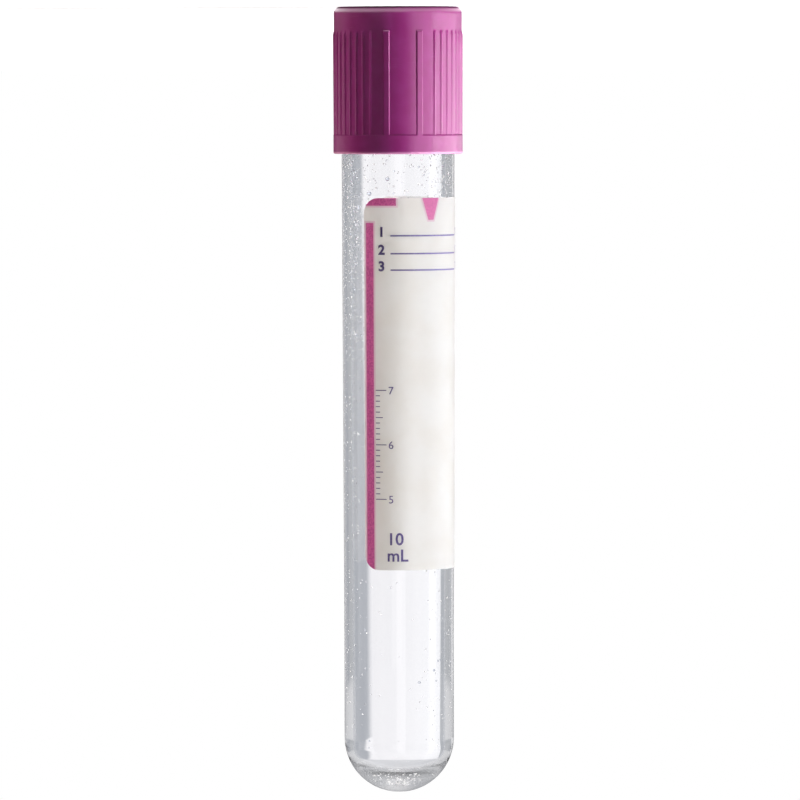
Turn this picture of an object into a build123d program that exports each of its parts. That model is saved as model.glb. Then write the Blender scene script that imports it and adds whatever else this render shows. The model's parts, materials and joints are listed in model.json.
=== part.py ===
from build123d import *
import os
from math import asin, atan2, cos, degrees, radians, sin

# Blood collection tube, 16 x 100 mm, 10 mL, with a push-on safety closure. Sizes in millimetres.
# Everything is first built about the tube's own axis, +Z, with z = 0 at the closed end and the front
# towards -Y. The last step turns it over: a round-bottomed tube can't stand on its closed end and
# rolls on its side, so it stands on its head, on the flat ring at the top of its closure.

# ---- tube: clear, moulded in one piece, with a slight draft ----
tube_length = 100.0
barrel_r = 7.54            # straight stretch next to the round bottom
barrel_top = 22.0          # where the straight stretch turns into the drafted wall
mouth_outer_r = 7.80
gate_flat = 0.12           # depth of the flat left by the moulding gate at the very bottom
bore_mouth_r = 6.72
bore_bottom_r = 6.36
base_thickness = 2.1
bore_floor_r = 9.0         # shallow dish of the inside bottom
bore_corner_r = 3.7
rim_round = 0.25

# ---- shield: outer cap of the closure ----
shield_bottom = 88.0
shield_height = 20.2
shield_r = 8.80            # smooth upper band and the ground between the ribs
band_r = 8.89              # plain band round the lower edge
band_height = 2.6
top_round = 0.9
edge_round = 0.2
skirt_bore_r = 8.02
entry_chamfer = 0.25
snap_ring_r = 7.93         # ring under the stopper's flange, clear of the tube
snap_ring_height = 0.9
port_r = 4.9               # opening over the stopper
port_round = 0.45
port_flare = 0.15          # widening at the opening's foot, round the stopper's boss
port_wall = 1.1
top_plate = 1.5
plain_top = 3.3            # height of the smooth band above the ribs

# ---- ribs on the shield ----
rib_positions = 48         # places round the shield, of which some stay empty
panel_count = 3            # smooth finger panels, each between two wide ribs
panel_turn = 4.7           # first panel's angle from the front, in degrees
wide_rib_place = 2         # places from the panel's middle to its wide rib
first_narrow_place = 4
rib_top_r = 8.96
rib_foot_r = 8.89
rib_root_r = 8.55          # buried in the shield's wall
wide_rib_width = 0.94
wide_rib_draft = 0.06
narrow_rib_width = 0.46    # at the ground of the shield
narrow_rib_crest = 0.12
narrow_rib_slope = 0.6     # length of the sloping upper end

# ---- stopper: rubber, held inside the shield ----
flange_height = 3.0
flange_gap = 0.03
flange_round = 0.35
plug_gap = 0.03            # plug to bore, all round
plug_depth = 8.6
plug_waist = 0.22
plug_nose = 0.7
recess_mouth_r = 3.7
recess_top_r = 3.2
recess_depth = 7.4
boss_r = 4.55
boss_height = 0.7
dish_r = 3.5
dish_depth = 1.1

# ---- label: film wrapped round the drafted wall ----
label_bottom = 31.0
label_top = 82.0
label_start = -37.0        # angle of the printed edge from the front, in degrees
label_sweep = 244.0
label_thickness = 0.08
label_gap = 0.02           # adhesive
label_corner_r = 2.2

# ---- dried additive: drops on the bore's wall ----
drop_count = 72
drop_r_min = 0.30
drop_r_max = 0.42
drop_height_share = 0.7    # of the foot's radius
drop_gap = 0.01            # from the bore's wall to the rim of a drop's foot
drop_zone_bottom = 11.0
drop_zone_top = 87.0
golden_turn = 137.508      # degrees from one drop to the next

# ---- worked out from the above ----
shield_top = shield_bottom + shield_height
band_top = shield_bottom + band_height
flange_top = tube_length + flange_height
flange_r = skirt_bore_r + 0.10
pocket_r = flange_r + flange_gap
port_foot = flange_top + boss_height + 0.1
barrel_centre = barrel_r - gate_flat
bore_floor_centre = base_thickness + bore_floor_r
bore_corner_z = bore_floor_centre - (bore_floor_r**2 - bore_bottom_r**2) ** 0.5


def wall_r(z):
    """Outer radius of the tube's drafted wall at height z."""
    share = (z - barrel_top) / (tube_length - barrel_top)
    return barrel_r + (mouth_outer_r - barrel_r) * share


def bore_r(z):
    """Radius of the tube's bore at height z, above the rounded inside bottom."""
    share = (z - bore_corner_z) / (tube_length - bore_corner_z)
    return bore_bottom_r + (bore_mouth_r - bore_bottom_r) * share


def turned(face):
    """A solid of revolution from a face drawn with x as the radius and y as the height."""
    return revolve(Plane.XZ * face, Axis.Z)


def facing(angle):
    """Turn something drawn at the front by an angle round the tube's axis."""
    return Rot(0, 0, angle)


def make_cavity():
    """The space inside the tube, drawn a little past the mouth."""
    above = tube_length + 1.0
    corner = (bore_bottom_r, bore_corner_z)
    half = asin(corner[0] / bore_floor_r) / 2
    mid = (bore_floor_r * sin(half), bore_floor_centre - bore_floor_r * cos(half))
    outline = ThreePointArc((0, base_thickness), mid, corner)
    outline += Polyline(corner, (bore_r(above), above), (0, above), (0, base_thickness))
    face = make_face(outline)
    return turned(fillet(face.vertices().sort_by_distance((*corner, 0))[0], bore_corner_r))


def make_tube(cavity):
    gate_r = (barrel_r**2 - barrel_centre**2) ** 0.5
    half = (asin(gate_r / barrel_r) + radians(90)) / 2
    mid = (barrel_r * sin(half), barrel_centre - barrel_r * cos(half))
    outline = Line((0, 0), (gate_r, 0))
    outline += ThreePointArc((gate_r, 0), mid, (barrel_r, barrel_centre))
    outline += Polyline(
        (barrel_r, barrel_centre),
        (barrel_r, barrel_top),
        (mouth_outer_r, tube_length),
        (0, tube_length),
        (0, 0),
    )
    body = turned(make_face(outline)) - cavity
    return fillet(body.edges().group_by(Axis.Z)[-1], rim_round)


def shield_profile():
    """Half section of the shield, without its ribs."""
    outer = [(skirt_bore_r + entry_chamfer, shield_bottom), (band_r, shield_bottom)]
    outer += [(band_r, band_top), (shield_r, band_top), (shield_r, shield_top), (port_r, shield_top)]
    ring_top = tube_length - 0.15
    ring_bottom = ring_top - snap_ring_height
    lead = skirt_bore_r - snap_ring_r
    inner = [(port_r, port_foot), (port_r + port_flare, flange_top), (port_r + port_wall, flange_top)]
    inner += [(port_r + port_wall, shield_top - top_plate), (skirt_bore_r, shield_top - top_plate)]
    inner += [(skirt_bore_r, flange_top), (pocket_r, flange_top), (pocket_r, ring_top)]
    inner += [(snap_ring_r, ring_top), (snap_ring_r, ring_bottom), (skirt_bore_r, ring_bottom - 3 * lead)]
    inner += [(skirt_bore_r, shield_bottom + entry_chamfer)]
    face = make_face(Polyline(*outer, *inner, close=True))
    for point, radius in [
        ((shield_r, shield_top), top_round),
        ((port_r, shield_top), port_round),
        ((band_r, shield_bottom), edge_round),
    ]:
        face = fillet(face.vertices().sort_by_distance((*point, 0))[0], radius)
    return face


def rib_solid(foot_half, crest_half, top_slope):
    """One rib at the front, between the lower band and the smooth upper band."""
    length = shield_top - plain_top - band_top
    depth = rib_foot_r - rib_root_r
    root_half = foot_half + (foot_half - crest_half) * 2
    section = Polyline((-root_half, 0), (root_half, 0), (crest_half, depth), (-crest_half, depth), close=True)
    rib = extrude(make_face(section), length)
    if top_slope:
        end = Polyline((0, length), (depth, length - top_slope), (depth, length), close=True)
        rib -= Plane.YZ * extrude(make_face(end), 2 * root_half, both=True)
    lean = degrees(atan2(rib_top_r - rib_foot_r, length))
    return Pos(0, -rib_root_r, band_top) * Rot(lean, 0, 180) * rib


def make_shield():
    wide_half = wide_rib_width / 2
    wide = rib_solid(wide_half, wide_half - wide_rib_draft, 0)
    narrow = rib_solid(narrow_rib_width / 2, narrow_rib_crest / 2, narrow_rib_slope)
    pitch = 360 / rib_positions
    places = rib_positions // panel_count
    ribs = []
    for panel in range(panel_count):
        for place in range(places):
            from_panel = min(place, places - place)
            angle = panel_turn + (panel * places + place) * pitch
            if from_panel == wide_rib_place:
                ribs.append(facing(angle) * wide)
            elif from_panel >= first_narrow_place:
                ribs.append(facing(angle) * narrow)
    return turned(shield_profile()).fuse(*ribs).clean()


def make_stopper():
    plug_bottom = tube_length - plug_depth
    band = plug_depth / 5
    half = [(0, plug_bottom + recess_depth), (recess_top_r, plug_bottom + recess_depth)]
    half += [(recess_mouth_r, plug_bottom), (bore_r(plug_bottom) - plug_gap - plug_nose / 2, plug_bottom)]
    for step, inset in [(0, 0), (1, 0), (1.5, plug_waist), (2.5, plug_waist), (3, 0), (4.4, 0)]:
        z = plug_bottom + plug_nose + step * band
        if z < tube_length - 2 * rim_round:
            half.append((bore_r(z) - plug_gap - inset, z))
    neck_r = bore_r(tube_length) - plug_gap
    half += [(neck_r, tube_length - 2 * rim_round), (neck_r, tube_length), (flange_r, tube_length)]
    half += [(flange_r, flange_top), (boss_r, flange_top), (boss_r, flange_top + boss_height)]
    half += [(0, flange_top + boss_height)]
    face = make_face(Polyline(*half, close=True))
    for point, radius in [
        ((flange_r, flange_top), flange_round),
        ((boss_r, flange_top + boss_height), boss_height * 0.6),
        ((recess_top_r, plug_bottom + recess_depth), recess_top_r * 0.6),
    ]:
        face = fillet(face.vertices().sort_by_distance((*point, 0))[0], radius)
    dish_sphere_r = (dish_r**2 + dish_depth**2) / (2 * dish_depth)
    dish = Pos(0, 0, flange_top + boss_height - dish_depth + dish_sphere_r) * Sphere(dish_sphere_r)
    return turned(face) - dish


def make_label():
    inside = [(wall_r(z) + label_gap, z) for z in (label_bottom, label_top)]
    outside = [(r + label_thickness, z) for r, z in reversed(inside)]
    film = revolve(
        facing(label_start - 90) * (Plane.XZ * make_face(Polyline(*inside, *outside, close=True))),
        Axis.Z,
        label_sweep,
    )
    corner = Pos(-label_corner_r, label_corner_r) * Rectangle(
        2 * label_corner_r, 2 * label_corner_r
    ) - Circle(label_corner_r)
    for z, flip in [(label_bottom + label_corner_r, -1), (label_top - label_corner_r, 1)]:
        turn = degrees(asin(label_corner_r / (wall_r(z) + label_gap)))
        for angle, side in [(label_start + turn, 1), (label_start + label_sweep - turn, -1)]:
            cut = corner
            if side < 0:
                cut = cut.mirror(Plane.YZ)
            if flip < 0:
                cut = cut.mirror(Plane.XZ)
            tool = Pos(0, 0, z) * facing(angle) * (Plane.XZ * extrude(cut, mouth_outer_r + 1))
            film -= tool
    return film


def make_drop(foot_r):
    """A low dome on a flat foot, pointing up."""
    height = foot_r * drop_height_share
    sphere_r = (foot_r**2 + height**2) / (2 * height)
    half = asin(foot_r / sphere_r) / 2
    mid = (sphere_r * sin(half), height - sphere_r + sphere_r * cos(half))
    outline = ThreePointArc((foot_r, 0), mid, (0, height))
    outline += Polyline((0, height), (0, 0), (foot_r, 0))
    return turned(make_face(outline))


def make_droplets():
    """Domes of dried additive, spread evenly over the bore by the golden angle."""
    drops = []
    for number in range(drop_count):
        share = (number + 0.5) / drop_count
        z = drop_zone_bottom + share * (drop_zone_top - drop_zone_bottom)
        foot_r = drop_r_min + (drop_r_max - drop_r_min) * ((number * 7) % 11) / 10
        foot = (bore_r(z) ** 2 - foot_r**2) ** 0.5 - drop_gap
        drops.append(facing(number * golden_turn) * Pos(0, -foot, z) * Rot(-90, 0, 0) * make_drop(foot_r))
    return Compound(children=drops)


cavity = make_cavity()
nodes = {
    "tube": make_tube(cavity),
    "shield": make_shield(),
    "stopper": make_stopper(),
    "label": make_label(),
    "additive_droplets": make_droplets(),
}
on_its_head = Pos(0, 0, shield_top) * Rot(0, 180, 0)
os.makedirs("parts", exist_ok=True)
for name, solid in nodes.items():
    export_step(on_its_head * solid, f"parts/{name}.step")
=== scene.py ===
import json
import math
import random

import bmesh
import bpy
import numpy as np
from mathutils import Matrix, Vector


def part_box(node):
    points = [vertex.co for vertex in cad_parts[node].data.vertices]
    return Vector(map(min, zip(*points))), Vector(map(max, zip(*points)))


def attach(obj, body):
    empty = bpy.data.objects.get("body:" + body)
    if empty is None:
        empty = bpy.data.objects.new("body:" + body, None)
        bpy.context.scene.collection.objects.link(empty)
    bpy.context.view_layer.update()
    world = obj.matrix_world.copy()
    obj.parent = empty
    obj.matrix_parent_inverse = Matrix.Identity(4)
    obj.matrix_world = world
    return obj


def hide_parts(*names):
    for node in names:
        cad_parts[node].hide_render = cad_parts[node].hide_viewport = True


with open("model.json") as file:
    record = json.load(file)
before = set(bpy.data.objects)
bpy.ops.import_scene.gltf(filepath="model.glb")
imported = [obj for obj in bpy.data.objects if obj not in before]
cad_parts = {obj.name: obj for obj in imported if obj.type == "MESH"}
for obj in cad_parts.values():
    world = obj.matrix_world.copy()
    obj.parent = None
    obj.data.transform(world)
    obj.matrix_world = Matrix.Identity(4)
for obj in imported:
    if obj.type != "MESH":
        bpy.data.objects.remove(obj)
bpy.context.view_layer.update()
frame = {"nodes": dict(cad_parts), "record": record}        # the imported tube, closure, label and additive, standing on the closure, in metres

mm = 0.001
bpy.context.scene.view_settings.view_transform = "Standard"
bpy.context.scene.cycles.max_bounces = 24              # light turns many times inside the solid clear end
bpy.context.scene.cycles.glossy_bounces = 16
bpy.context.scene.cycles.transmission_bounces = 24
print("frame loaded:", ", ".join(sorted(frame["nodes"])))


# Places: turn 0 is the front, -Y, and turns grow towards -X.
def around(turn, radius, height=0.0):
    angle = math.radians(turn)
    return Vector((-radius * math.sin(angle), -radius * math.cos(angle), height))


def turnOf(place):
    return math.degrees(math.atan2(-place[0], -place[1]))


tubeLow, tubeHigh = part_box("tube")
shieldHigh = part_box("shield")[1]
labelLow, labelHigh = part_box("label")
stopperLow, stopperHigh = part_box("stopper")
barrelMount = next(mount for mount in frame["record"]["mounts"] if mount["name"] == "rack_barrel")


def fromEnd(distance):
    return tubeHigh.z - distance         # height of a place measured from the tube's closed end


# Helpers for modelling.
def deselectAll():
    if bpy.context.mode != "OBJECT":
        bpy.ops.object.mode_set(mode="OBJECT")
    bpy.ops.object.select_all(action="DESELECT")


def pickObject(obj):
    deselectAll()
    obj.select_set(True)
    bpy.context.view_layer.objects.active = obj


def editMode(obj):
    # leaves all of its mesh selected
    pickObject(obj)
    bpy.ops.object.mode_set(mode="EDIT")
    bpy.ops.mesh.select_all(action="SELECT")


def addPlane(size):
    deselectAll()
    bpy.ops.mesh.primitive_plane_add(size=size)
    return bpy.context.active_object


def selectVerts(obj, wanted):
    # wanted is a list of vertex numbers
    bpy.ops.mesh.select_all(action="DESELECT")
    mesh = bmesh.from_edit_mesh(obj.data)
    mesh.verts.ensure_lookup_table()
    for number in wanted:
        mesh.verts[number].select = True
    mesh.select_flush(True)
    bmesh.update_edit_mesh(obj.data)


def finishMesh(obj, smoothAngle):
    pickObject(obj)
    bpy.ops.object.transform_apply(location=True, rotation=True, scale=True)
    bpy.ops.object.shade_smooth_by_angle(angle=math.radians(smoothAngle))
    print(" ", obj.name, len(obj.data.polygons), "faces")


def applyModifier(obj, kind, **settings):
    pickObject(obj)
    modifier = obj.modifiers.new(kind.lower(), kind)
    for key, value in settings.items():
        setattr(modifier, key, value)
    bpy.ops.object.modifier_apply(modifier=modifier.name)


def bevelEdges(obj, width, angle):
    limit = math.radians(angle)
    applyModifier(obj, "BEVEL", width=width, segments=2, limit_method="ANGLE", angle_limit=limit)


def arcPoints(centre, radius, start, end, steps):
    # an arc in a half section: angles in degrees from straight outwards towards up
    points = []
    for step in range(steps + 1):
        angle = math.radians(start + (end - start) * step / steps)
        points.append((centre[0] + radius * math.cos(angle), centre[1] + radius * math.sin(angle)))
    return points


def latheProfile(name, points, steps, firstTurn=0.0):
    # a profile of (radius, height) points drawn vertex by vertex and spun round the axis
    obj = addPlane(mm)
    obj.name = obj.data.name = name
    editMode(obj)
    bpy.ops.mesh.merge(type="CENTER")
    here = around(firstTurn, points[0][0], points[0][1])
    bpy.ops.transform.translate(value=here)
    for radius, height in points[1:]:
        there = around(firstTurn, radius, height)
        bpy.ops.mesh.extrude_vertices_move(TRANSFORM_OT_translate={"value": there - here})
        here = there
    bpy.ops.mesh.select_all(action="SELECT")
    bpy.ops.mesh.spin(steps=steps, angle=2 * math.pi, center=(0, 0, 0), axis=(0, 0, 1))
    bpy.ops.mesh.select_all(action="SELECT")
    bpy.ops.mesh.remove_doubles(threshold=0.001 * mm)
    bpy.ops.mesh.normals_make_consistent(inside=False)
    bpy.ops.object.mode_set(mode="OBJECT")
    return obj


# Helpers for node trees.
def feed(tree, socket, value):
    # a value is another node's output or a plain setting
    if isinstance(value, bpy.types.NodeSocket):
        tree.links.new(value, socket)
    else:
        socket.default_value = value


def put(tree, kind, inputs=None, **settings):
    node = tree.nodes.new(kind)
    for key, value in settings.items():
        setattr(node, key, value)
    for key, value in (inputs or {}).items():
        feed(tree, node.inputs[key], value)
    return node


def calc(tree, operation, *values):
    return put(tree, "ShaderNodeMath", dict(enumerate(values)), operation=operation).outputs[0]


def ramp(tree, value, low, high, outLow=0.0, outHigh=1.0):
    ends = {"Value": value, "From Min": low, "From Max": high, "To Min": outLow, "To Max": outHigh}
    return put(tree, "ShaderNodeMapRange", ends, interpolation_type="SMOOTHSTEP").outputs["Result"]


def mixColour(tree, factor, first, second):
    return put(tree, "ShaderNodeMix", {0: factor, 6: first, 7: second}, data_type="RGBA").outputs[2]


def noise(tree, vector, scale, detail=2.0):
    return put(tree, "ShaderNodeTexNoise", {"Vector": vector, "Scale": scale, "Detail": detail}).outputs[0]


def bumps(tree, height, strength, depth):
    return put(tree, "ShaderNodeBump", {"Height": height, "Strength": strength, "Distance": depth}).outputs[0]


def vectorMath(tree, operation, *vectors):
    return put(tree, "ShaderNodeVectorMath", dict(enumerate(vectors)), operation=operation)


def splitPlace(tree, place):
    # a place's distance from the axis and its height
    east, north, up = put(tree, "ShaderNodeSeparateXYZ", {0: place}).outputs
    flat = put(tree, "ShaderNodeCombineXYZ", {0: east, 1: north}).outputs[0]
    return vectorMath(tree, "LENGTH", flat).outputs["Value"], up


def newGroup(name, sockets):
    # sockets are (name, kind, direction, default) rows
    group = bpy.data.node_groups.new(name, "ShaderNodeTree")
    for title, kind, direction, default in sockets:
        socket = group.interface.new_socket(name=title, in_out=direction, socket_type="NodeSocket" + kind)
        if default is not None:
            socket.default_value = default
    return group, group.nodes.new("NodeGroupInput").outputs, group.nodes.new("NodeGroupOutput").inputs


def useGroup(tree, group, inputs):
    return put(tree, "ShaderNodeGroup", inputs, node_tree=group).outputs


def newMaterial(name):
    material = bpy.data.materials.new(name)
    material.use_nodes = True
    material.node_tree.nodes.clear()
    return material, material.node_tree


def addSurface(tree, inputs):
    return put(tree, "ShaderNodeBsdfPrincipled", inputs).outputs[0]


def showSurface(tree, surface):
    put(tree, "ShaderNodeOutputMaterial", {"Surface": surface})


def inMillimetres(tree, stretch=(1.0, 1.0, 1.0)):
    place = tree.nodes.new("ShaderNodeTexCoord").outputs["Object"]
    scale = tuple(part / mm for part in stretch)
    return put(tree, "ShaderNodeMapping", {"Vector": place, "Scale": scale}).outputs[0]


def finishWith(obj, material, body):
    obj.data.materials.clear()
    obj.data.materials.append(material)
    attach(obj, body)


# Effects that several materials share.
effectPlan = {
    "grainDetail": 2.0,
    "mottleDetail": 3.0,
    "mottleRange": (0.3, 0.7),        # the stretch of noise that fades the mottle in
    "scuffTurn": (0.3, 0.1, 0.5),
    "scuffStretch": (0.35, 0.35, 9.0),
    "scuffDetail": 4.0,
    "scuffRange": (0.62, 0.72),       # only the peaks of the noise are marks
    "patchScale": 0.22,
    "patchRange": (0.45, 0.62),
    "inkEdge": 0.03,                  # softness of the ink's edge, in millimetres
}


def makeGrainGroup(plan):
    # fine moulded grain: a height, and a soft mottle of the same surface
    group, given, out = newGroup("mouldGrain", [
        ("Vector", "Vector", "INPUT", None),
        ("Grain Size", "Float", "INPUT", 0.15),
        ("Mottle Size", "Float", "INPUT", 2.0),
        ("Height", "Float", "OUTPUT", None),
        ("Mottle", "Float", "OUTPUT", None),
    ])
    fineScale = calc(group, "DIVIDE", 1.0, given["Grain Size"])
    wideScale = calc(group, "DIVIDE", 1.0, given["Mottle Size"])
    fine = noise(group, given["Vector"], fineScale, plan["grainDetail"])
    wide = noise(group, given["Vector"], wideScale, plan["mottleDetail"])
    group.links.new(fine, out["Height"])
    group.links.new(ramp(group, wide, *plan["mottleRange"]), out["Mottle"])
    return group


def makeScuffGroup(plan):
    # hair-fine handling marks: thin stretched streaks, broken up by a slower noise
    group, given, out = newGroup("handlingScuffs", [
        ("Vector", "Vector", "INPUT", None),
        ("Amount", "Float", "INPUT", 0.5),
        ("Mask", "Float", "OUTPUT", None),
    ])
    placed = put(group, "ShaderNodeMapping", {
        "Vector": given["Vector"],
        "Rotation": plan["scuffTurn"],
        "Scale": plan["scuffStretch"],
    })
    streaks = ramp(group, noise(group, placed.outputs[0], 1.0, plan["scuffDetail"]), *plan["scuffRange"])
    patches = ramp(group, noise(group, given["Vector"], plan["patchScale"]), *plan["patchRange"])
    mask = calc(group, "MULTIPLY", calc(group, "MULTIPLY", streaks, patches), given["Amount"])
    group.links.new(mask, out["Mask"])
    return group


def makePrintShapeGroup(plan):
    # a filled shape of print between two edges each way; its sides may lean, as on a wedge
    group, given, out = newGroup("printShape", [
        ("Across", "Float", "INPUT", 0.0),
        ("Up", "Float", "INPUT", 0.0),
        ("Centre", "Float", "INPUT", 0.0),
        ("Half Width", "Float", "INPUT", 1.0),
        ("Lean", "Float", "INPUT", 0.0),
        ("Bottom", "Float", "INPUT", 0.0),
        ("Top", "Float", "INPUT", 1.0),
        ("Grow", "Float", "INPUT", 0.0),
        ("Mask", "Float", "OUTPUT", None),
    ])
    climbed = calc(group, "SUBTRACT", given["Up"], given["Bottom"])
    half = calc(group, "MULTIPLY_ADD", climbed, given["Lean"], given["Half Width"])
    aside = calc(group, "ABSOLUTE", calc(group, "SUBTRACT", given["Across"], given["Centre"]))
    left = calc(group, "SUBTRACT", given["Top"], given["Up"])
    mask = None
    for gap in (calc(group, "SUBTRACT", half, aside), climbed, left):
        grown = calc(group, "ADD", gap, given["Grow"])
        side = ramp(group, grown, -plan["inkEdge"], plan["inkEdge"])
        mask = side if mask is None else calc(group, "MULTIPLY", mask, side)
    group.links.new(mask, out["Mask"])
    return group


grainGroup = makeGrainGroup(effectPlan)
scuffGroup = makeScuffGroup(effectPlan)
printGroup = makePrintShapeGroup(effectPlan)


def useGrain(tree, place, grainSize, mottleSize):
    sizes = {"Vector": place, "Grain Size": grainSize, "Mottle Size": mottleSize}
    return useGroup(tree, grainGroup, sizes)


def useScuffs(tree, place, amount):
    return useGroup(tree, scuffGroup, {"Vector": place, "Amount": amount})["Mask"]


print("shared effects made")


# Camera, lamps and surroundings.
studio = {
    "cameraDistance": 0.99,
    "cameraHeight": 10.2 * mm,
    "aimHeight": 54.16 * mm,
    "aimAside": 0.20 * mm,
    "lean": 0.12,                     # degrees
    "lens": 323.4,
    "sensor": 36.0,
    "panelDistance": 0.7,
    "panelHeight": 1.3,
    "panelWidth": 0.42,
    "panels": ((-128, 0.4), (41, 2.6), (80, 4.3), (112, 4.9)),      # turn and brightness
    # panels of plain light: name, turn, brightness, width and colour
    "plainPanels": (("keyPanel", 72, 25.2, 0.18, (0.885, 0.93, 1.0)),
                    ("fillPanel", -112, 9.0, 0.2, (1.0, 0.86, 0.78))),
    "sheenTurn": 24,                  # a soft sheen along the label alone
    "sheenBrightness": 16.0,
    "sheenWidth": 0.5,
    "edgeTurn": 142,                  # and a faint one along the shield's far edge alone
    "edgeBrightness": 1.7,
    "roomForSurfaces": (0.11, 0.105, 0.10, 1),
    "roomForGloss": (0.02, 0.02, 0.022, 1),
    "backForGloss": (0.16, 0.16, 0.17, 1),
    "backReach": (0.55, 0.95),        # how squarely a mirrored direction points at the back of the room
    "floorSize": 12.0,
    "floorRoughness": 0.9,
    "floorColour": (0.45, 0.45, 0.45, 1),
    "floorMirrorColour": (0.03, 0.03, 0.03, 1),
    "floorGlow": (0.74, 1.0),         # the floor's own light, beside the object and further out
    "floorGlowReach": (0.03, 0.35),
    "contactEdge": (0.0083, 0.0089),  # the floor under the object stays dark in its gloss
    "floorMirror": (2.3, 0.05),       # what the gloss shows of the floor close by and further out
    "floorMirrorReach": (0.0096, 0.0138),
}

# What stands round the object as its clear parts show it. Angles are in degrees.
roomPlan = {
    "cardStep": 90.0,                 # a white card on every side
    "cardFrom": -8.5,                 # its edges, as the clear wall bends them
    "cardTo": 16.5,
    "softEdge": 1.5,
    "crispEdge": 0.8,
    "cardSlant": 2.2,                 # the card's left edge moves in away from level
    "slantRise": (0.02, 0.075),       # rises are those of a direction from level, as a sine
    "cardDim": (1.03, 1.01, 1.02, 1),
    "cardBright": (1.16, 1.15, 1.16, 1),
    "cardFade": (-4.0, 12.0),
    "wallLeft": (0.44, 0.455, 0.49, 1),
    "wallRight": (0.47, 0.485, 0.51, 1),
    "wallFade": (0.0, 5.0),
    "wallBetween": (0.52, 0.53, 0.55, 1),
    "betweenReach": (14.0, 8.0),      # to either side of the corner between two cards
    "throughFilm": (3.42, 3.22, 2.95, 1),
    "above": (0.74, 0.74, 0.755, 1),
    "aboveRise": (0.38, 0.46),
    "baseRise": (0.087, 0.094),       # through the solid base it starts lower
    "wallFaces": 3.0,
    "middleHeight": 60 * mm,
}


def makeCamera(plan):
    data = bpy.data.cameras.new("camera")
    data.lens = plan["lens"]
    data.sensor_width = plan["sensor"]
    camera = bpy.data.objects.new("camera", data)
    bpy.context.scene.collection.objects.link(camera)
    place = around(0, plan["cameraDistance"], plan["cameraHeight"])
    aim = Vector((-plan["aimAside"], 0, plan["aimHeight"]))
    back = (place - aim).normalized()
    side = Vector((0, 0, -1)).cross(back).normalized()       # the closure shows at the top of the render
    level = Matrix((side, back.cross(side), back)).transposed()
    rolled = Matrix.Rotation(math.radians(-plan["lean"]), 3, back) @ level
    camera.matrix_world = Matrix.Translation(place) @ rolled.to_4x4()
    bpy.context.scene.camera = camera


def makePanel(name, turn, brightness, width, mirrored=True, colour=(1, 1, 1)):
    # a tall soft lamp that shows either in gloss or as plain light, never through the clear tube
    height = studio["panelHeight"]
    data = bpy.data.lights.new(name, "AREA")
    data.shape = "RECTANGLE"
    data.size = width
    data.size_y = height
    data.color = colour
    data.energy = brightness * math.pi * width * height
    lamp = bpy.data.objects.new(name, data)
    bpy.context.scene.collection.objects.link(lamp)
    lamp.location = around(turn, studio["panelDistance"], height / 2)
    lamp.rotation_euler = around(turn, -1).to_track_quat("-Z", "Y").to_euler()
    lamp.visible_glossy = mirrored
    lamp.visible_diffuse = not mirrored
    lamp.visible_transmission = False
    return lamp


def linkLamps(piece, lamps, state):
    # INCLUDE leaves all other pieces out of their light, and EXCLUDE only this piece
    linked = bpy.data.collections.new("linked")
    linked.objects.link(piece)
    linked.collection_objects[0].light_linking.link_state = state
    for lamp in lamps:
        lamp.light_linking.receiver_collection = linked


def makeRoomGroup(plan):
    # white cards with grey walls between them
    group, given, out = newGroup("roomBehindGlass", [
        ("Vector", "Vector", "INPUT", None),
        ("Through Base", "Float", "INPUT", 0.0),
        ("Through Film", "Float", "INPUT", 0.0),
        ("Colour", "Color", "OUTPUT", None),
    ])
    east, north, up = put(group, "ShaderNodeSeparateXYZ", {0: given["Vector"]}).outputs
    radians = calc(group, "ARCTAN2", calc(group, "MULTIPLY", east, -1.0), north)
    half = plan["cardStep"] / 2
    turn = calc(group, "WRAP", calc(group, "MULTIPLY", radians, 180 / math.pi), half, -half)
    steepness = calc(group, "ABSOLUTE", up)

    slant = ramp(group, steepness, *plan["slantRise"], 0.0, plan["cardSlant"])
    slanted = calc(group, "SUBTRACT", turn, slant)
    start, end = plan["cardFrom"], plan["cardTo"]
    rise = ramp(group, slanted, start - plan["softEdge"], start + plan["softEdge"])
    fall = ramp(group, turn, end - plan["crispEdge"], end + plan["crispEdge"])
    card = calc(group, "MULTIPLY", rise, calc(group, "SUBTRACT", 1.0, fall))
    white = mixColour(group, ramp(group, turn, *plan["cardFade"]), plan["cardDim"], plan["cardBright"])

    wall = mixColour(group, ramp(group, turn, *plan["wallFade"]), plan["wallLeft"], plan["wallRight"])
    outer, inner = plan["betweenReach"]
    between = ramp(group, calc(group, "ABSOLUTE", turn), half - outer, half - inner)
    wall = mixColour(group, between, wall, plan["wallBetween"])

    sloped = calc(group, "MULTIPLY", given["Through Base"], ramp(group, steepness, *plan["baseRise"]))
    steep = calc(group, "MAXIMUM", ramp(group, steepness, *plan["aboveRise"]), sloped)
    colour = mixColour(group, steep, wall, plan["above"])
    card = calc(group, "MULTIPLY", card, calc(group, "SUBTRACT", 1.0, steep))
    colour = mixColour(group, card, colour, white)
    colour = mixColour(group, given["Through Film"], colour, plan["throughFilm"])
    group.links.new(colour, out["Colour"])
    return group


def lookThroughGlass(tree, direction, rays):
    # a path through both walls of the tube crosses four faces, and one through its solid base only two
    return useGroup(tree, roomGroup, {
        "Vector": direction,
        "Through Base": calc(tree, "LESS_THAN", rays["Transmission Depth"], roomPlan["wallFaces"]),
        "Through Film": calc(tree, "GREATER_THAN", rays["Diffuse Depth"], 0.0),
    })["Colour"]


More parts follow.
